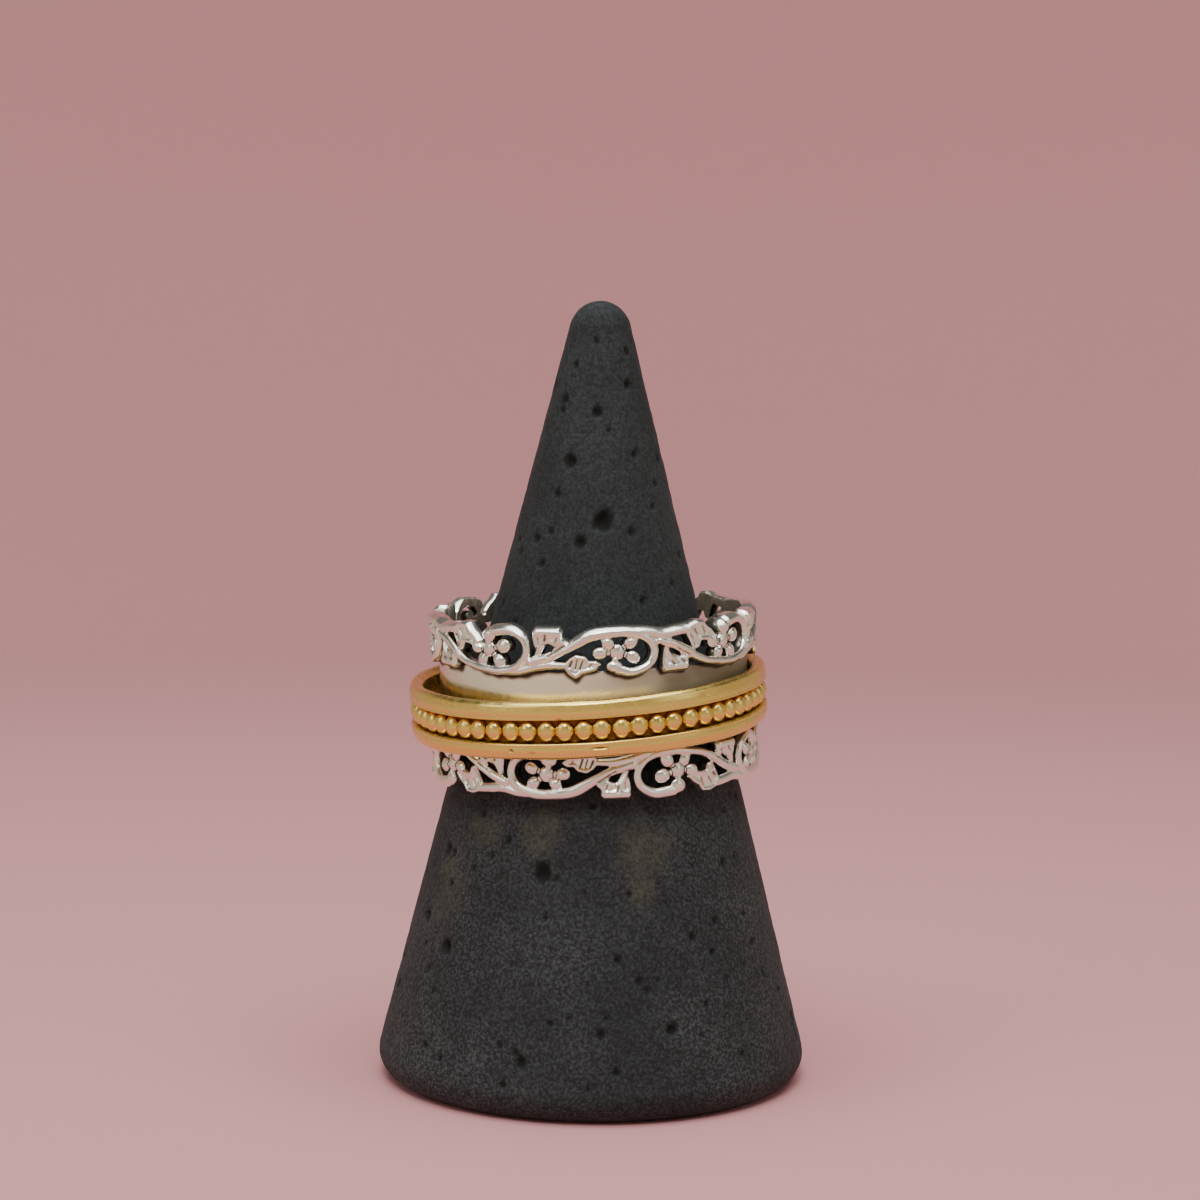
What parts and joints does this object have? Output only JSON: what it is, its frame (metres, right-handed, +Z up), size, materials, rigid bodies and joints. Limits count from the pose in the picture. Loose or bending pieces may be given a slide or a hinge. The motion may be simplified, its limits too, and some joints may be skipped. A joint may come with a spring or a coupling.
{
  "type": "spinner ring on a stone ring cone",
  "caption": "Pierced silver band ring with a free-turning beaded gold spinner round its sleeve, displayed leaning on a pointed dark stone ring cone with a flat base",
  "frame": {"origin": "centre of the cone's flat base, on the surface it stands on", "axes": "+Z up along the cone's axis, -Y towards the front of the display, +X to the right; the ring leans a little on the cone"},
  "size_m": [0.0252, 0.0252, 0.0459],
  "materials": {
    "stone": "matt dark grey stone with fine pale mottling and small pits",
    "silver": "polished sterling silver, blackened by oxide in the recesses of the cast vine",
    "gold": "polished yellow gold with fine scratches and small dents, darkened between the beads"
  },
  "bodies": {
    "stand": {"ring_cone": "stone", "silver_band": "silver"},
    "spinner": {"gold_spinner": "gold"}
  },
  "joints": [
    {"name": "spinner_spin", "type": "hinge", "parent": "stand", "child": "spinner", "pos_m": [-0.00042, -0.00025, 0.0226], "axis": [-0.0732, -0.0487, 0.9961], "continuous": true}
  ]
}
